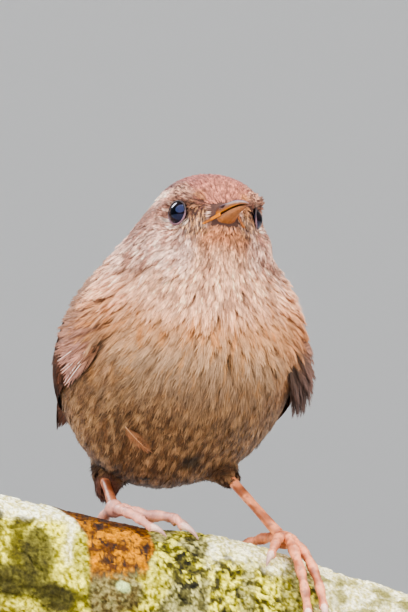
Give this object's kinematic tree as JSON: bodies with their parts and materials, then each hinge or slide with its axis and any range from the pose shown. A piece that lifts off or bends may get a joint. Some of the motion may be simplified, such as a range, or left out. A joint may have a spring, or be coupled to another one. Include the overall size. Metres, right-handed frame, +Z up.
{
  "type": "wren figure",
  "caption": "Life-size model of a wren, its head turned aside and wings drooped, gripping a cut length of lichened branch on a flat base.",
  "frame": {"origin": "middle of the underside of the display base, on the floor", "axes": "+Z up, the bird and its base face -Y, and +X runs along the branch towards its lower end, on the bird's left"},
  "size_m": [0.114, 0.086, 0.1194],
  "materials": {
    "head_plumage": "fine soft feathers, barred brown",
    "body_plumage": "loose soft feathers, buff with brown bars",
    "wing_feather": "stiff feathers, rufous with dark bars",
    "tail_feather": "stiff feathers, rufous with dark bars",
    "bill_horn": "satin horn",
    "bill_pale": "satin horn, yellowish",
    "eye": "wet gloss",
    "leg_scale": "scaled skin",
    "claw": "satin horn",
    "bark": "rough bark with lichen",
    "stand_wood": "satin varnish",
    "stand_metal": "brushed"
  },
  "bodies": {
    "root": {"claw_left_hind": "claw", "claw_left_inner": "claw", "claw_left_middle": "claw", "claw_left_outer": "claw", "claw_right_hind": "claw", "claw_right_inner": "claw", "claw_right_middle": "claw", "claw_right_outer": "claw", "eye_left": "eye", "eye_right": "eye", "foot_left": "leg_scale", "foot_right": "leg_scale", "head": "head_plumage", "lower_bill": "bill_pale", "neck": "body_plumage", "perch": "bark", "stand_base": "stand_wood", "stand_rod_high": "stand_metal", "stand_rod_low": "stand_metal", "tail": "tail_feather", "tarsus_left": "leg_scale", "tarsus_right": "leg_scale", "thigh_left": "body_plumage", "thigh_right": "body_plumage", "torso": "body_plumage", "upper_bill": "bill_horn", "wing_left": "wing_feather", "wing_right": "wing_feather"}
  },
  "joints": []
}
